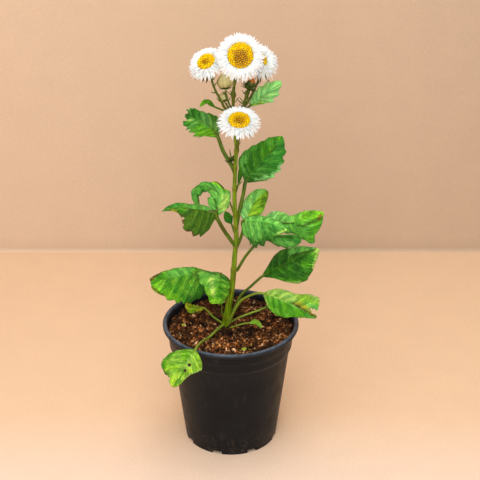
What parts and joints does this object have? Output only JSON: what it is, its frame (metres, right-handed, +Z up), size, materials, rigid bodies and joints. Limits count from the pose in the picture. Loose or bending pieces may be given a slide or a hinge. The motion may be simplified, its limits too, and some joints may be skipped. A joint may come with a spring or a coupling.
{
  "type": "potted aster",
  "caption": "White aster in bloom in a black nursery pot: yellow-centred flower heads on a leafy green stem, standing in brown soil.",
  "frame": {"origin": "middle of the pot's base, on the surface that it stands on", "axes": "+Z up; -Y is the plant's front, which the centre head faces; +X to the right as seen from the front"},
  "size_m": [0.1624, 0.1458, 0.4133],
  "materials": {
    "pot_plastic": "satin black moulded plastic with light scuffs",
    "soil": "loose moist coco and peat mix with chips",
    "stem": "ribbed yellow-green stem with brown tints and fine hairs",
    "leaf": "soft satin leaf with pale veins and a toothed edge",
    "ray_petal": "matte white petals, cream in the folds",
    "disc_floret": "matte golden yellow florets",
    "bud_petal": "matte cream folded petals",
    "bud_orange": "matte pale orange petal tips"
  },
  "bodies": {
    "root": {"pot": "pot_plastic", "soil": "soil", "stem": "stem", "leaf_upper_right": "leaf", "leaf_upper_left": "leaf", "leaf_top_right": "leaf", "leaf_bract": "leaf", "leaf_middle_left": "leaf", "leaf_behind_stem": "leaf", "leaf_middle_right": "leaf", "leaf_right_long": "leaf", "leaf_low_right_dark": "leaf", "leaf_low_right_light": "leaf", "leaf_low_left": "leaf", "leaf_withered": "leaf", "leaf_front": "leaf", "leaf_basal_small": "leaf", "leaf_basal_back": "leaf", "leaf_stem_sprig": "leaf", "rays_centre": "ray_petal", "disc_centre": "disc_floret", "rays_left": "ray_petal", "disc_left": "disc_floret", "rays_right": "ray_petal", "disc_right": "disc_floret", "rays_lower": "ray_petal", "disc_lower": "disc_floret", "bud_closed": "bud_petal", "bud_young": "bud_petal", "bud_orange": "bud_orange"}
  },
  "joints": []
}
